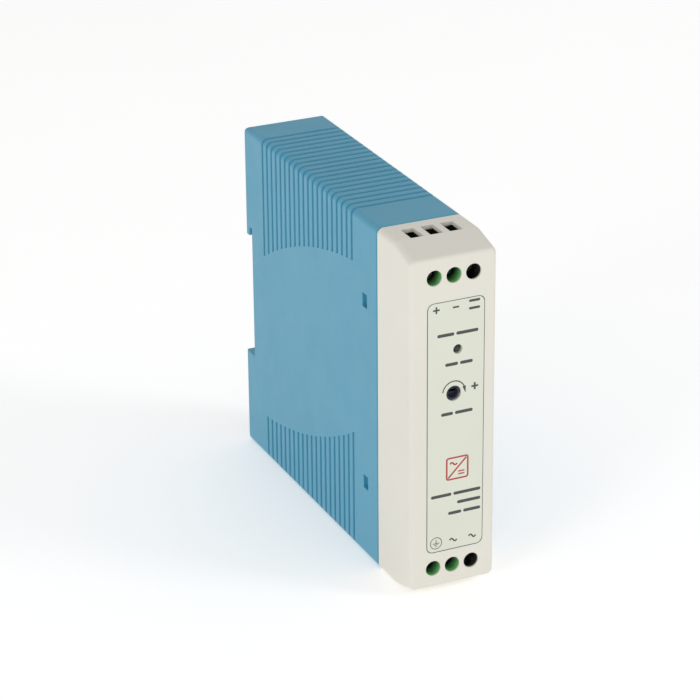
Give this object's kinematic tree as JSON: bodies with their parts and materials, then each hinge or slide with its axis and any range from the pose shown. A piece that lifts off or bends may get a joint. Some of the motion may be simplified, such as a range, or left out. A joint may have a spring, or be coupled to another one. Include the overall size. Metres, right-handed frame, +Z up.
{
  "type": "din rail power supply",
  "caption": "Slim ribbed two-part case with an off-white front cap, clamp terminals top and bottom, a lamp, a recessed adjuster, and a sprung latch for a 35 mm rail.",
  "frame": {"origin": "middle of the underside, at the bottom centre of the bounding box", "axes": "+Z up, +X to the right seen from the front, +Y from the front face towards the rail"},
  "size_m": [0.0226, 0.1, 0.09],
  "materials": {
    "case_plastic": "satin",
    "cap_plastic": "satin",
    "label_film": "satin",
    "terminal_plastic": "satin",
    "lamp_lens": "gloss",
    "black_plastic": "satin",
    "latch_plastic": "satin",
    "board_laminate": "satin",
    "clear_film": "gloss",
    "fuse_glass": "gloss",
    "dark_ceramic": "matte",
    "blue_epoxy": "gloss",
    "film_box": "satin",
    "ferrite": "matte",
    "copper_wire": "satin",
    "winding_tape": "satin",
    "capacitor_sleeve": "satin",
    "heat_spreader": "satin",
    "plated_steel": "satin",
    "spring_steel": "satin",
    "tinned_brass": "satin"
  },
  "bodies": {
    "case": {"housing_shell": "case_plastic", "front_cap": "cap_plastic", "front_label": "label_film", "terminal_block_output": "terminal_plastic", "terminal_block_input": "terminal_plastic", "light_pipe": "lamp_lens", "status_led": "lamp_lens", "trimmer_body": "black_plastic", "terminal_board": "board_laminate", "main_board": "board_laminate", "board_header": "black_plastic", "insulating_sheet": "clear_film", "input_fuse": "fuse_glass", "inrush_thermistor": "dark_ceramic", "varistor": "blue_epoxy", "y_capacitor": "blue_epoxy", "x_capacitor": "film_box", "choke_core": "ferrite", "choke_winding": "copper_wire", "transformer_core": "ferrite", "transformer_winding": "winding_tape", "bridge_rectifier": "black_plastic", "bulk_capacitor": "capacitor_sleeve", "output_capacitor_1": "capacitor_sleeve", "output_capacitor_2": "capacitor_sleeve", "switch_transistor": "black_plastic", "output_diode": "black_plastic", "control_ic": "black_plastic", "optocoupler": "black_plastic", "primary_heatsink": "heat_spreader", "secondary_heatsink": "heat_spreader", "primary_heatsink_screw": "plated_steel", "secondary_heatsink_screw": "plated_steel", "output_inductor": "copper_wire", "latch_spring": "spring_steel", "contact_1": "tinned_brass", "contact_2": "tinned_brass", "contact_3": "tinned_brass", "contact_4": "tinned_brass", "contact_5": "tinned_brass", "contact_6": "tinned_brass"},
    "screw_1": {"terminal_screw_1": "plated_steel"},
    "cage_1": {"clamp_cage_1": "plated_steel"},
    "screw_2": {"terminal_screw_2": "plated_steel"},
    "cage_2": {"clamp_cage_2": "plated_steel"},
    "screw_3": {"terminal_screw_3": "plated_steel"},
    "cage_3": {"clamp_cage_3": "plated_steel"},
    "screw_4": {"terminal_screw_4": "plated_steel"},
    "cage_4": {"clamp_cage_4": "plated_steel"},
    "screw_5": {"terminal_screw_5": "plated_steel"},
    "cage_5": {"clamp_cage_5": "plated_steel"},
    "screw_6": {"terminal_screw_6": "plated_steel"},
    "cage_6": {"clamp_cage_6": "plated_steel"},
    "adjuster": {"trimmer_rotor": "black_plastic"},
    "latch": {"rail_latch": "latch_plastic"}
  },
  "joints": [
    {"name": "screw_1_turn", "type": "hinge", "parent": "case", "child": "screw_1", "pos_m": [-0.00508, -0.0459, 0.0828], "axis": [0, 1, 0], "range_deg": [0, 1260]},
    {"name": "cage_1_lift", "type": "slide", "parent": "case", "child": "cage_1", "axis": [0, -1, 0], "range_m": [0, 0.0014]},
    {"name": "screw_2_turn", "type": "hinge", "parent": "case", "child": "screw_2", "pos_m": [0, -0.0459, 0.0828], "axis": [0, 1, 0], "range_deg": [0, 1260]},
    {"name": "cage_2_lift", "type": "slide", "parent": "case", "child": "cage_2", "axis": [0, -1, 0], "range_m": [0, 0.0014]},
    {"name": "screw_3_turn", "type": "hinge", "parent": "case", "child": "screw_3", "pos_m": [0.00508, -0.0459, 0.0828], "axis": [0, 1, 0], "range_deg": [0, 1260]},
    {"name": "cage_3_lift", "type": "slide", "parent": "case", "child": "cage_3", "axis": [0, -1, 0], "range_m": [0, 0.0014]},
    {"name": "screw_4_turn", "type": "hinge", "parent": "case", "child": "screw_4", "pos_m": [-0.00508, -0.0459, 0.0072], "axis": [0, 1, 0], "range_deg": [0, 1260]},
    {"name": "cage_4_lift", "type": "slide", "parent": "case", "child": "cage_4", "axis": [0, -1, 0], "range_m": [0, 0.0014]},
    {"name": "screw_5_turn", "type": "hinge", "parent": "case", "child": "screw_5", "pos_m": [0, -0.0459, 0.0072], "axis": [0, 1, 0], "range_deg": [0, 1260]},
    {"name": "cage_5_lift", "type": "slide", "parent": "case", "child": "cage_5", "axis": [0, -1, 0], "range_m": [0, 0.0014]},
    {"name": "screw_6_turn", "type": "hinge", "parent": "case", "child": "screw_6", "pos_m": [0.00508, -0.0459, 0.0072], "axis": [0, 1, 0], "range_deg": [0, 1260]},
    {"name": "cage_6_lift", "type": "slide", "parent": "case", "child": "cage_6", "axis": [0, -1, 0], "range_m": [0, 0.0014]},
    {"name": "adjuster_turn", "type": "hinge", "parent": "case", "child": "adjuster", "pos_m": [0.0001, -0.0496, 0.0527], "axis": [0, 1, 0], "range_deg": [-135, 135]},
    {"name": "latch_slide", "type": "slide", "parent": "case", "child": "latch", "axis": [0, 0, -1], "range_m": [0, 0.0035], "stiffness_N_per_m": 600, "springref_m": -0.002, "deforming": ["latch_spring"]}
  ],
  "couplings": [
    {"joint": "screw_1_turn", "follows": "cage_1_lift", "rad_per_m": 15708},
    {"joint": "screw_2_turn", "follows": "cage_2_lift", "rad_per_m": 15708},
    {"joint": "screw_3_turn", "follows": "cage_3_lift", "rad_per_m": 15708},
    {"joint": "screw_4_turn", "follows": "cage_4_lift", "rad_per_m": 15708},
    {"joint": "screw_5_turn", "follows": "cage_5_lift", "rad_per_m": 15708},
    {"joint": "screw_6_turn", "follows": "cage_6_lift", "rad_per_m": 15708}
  ]
}
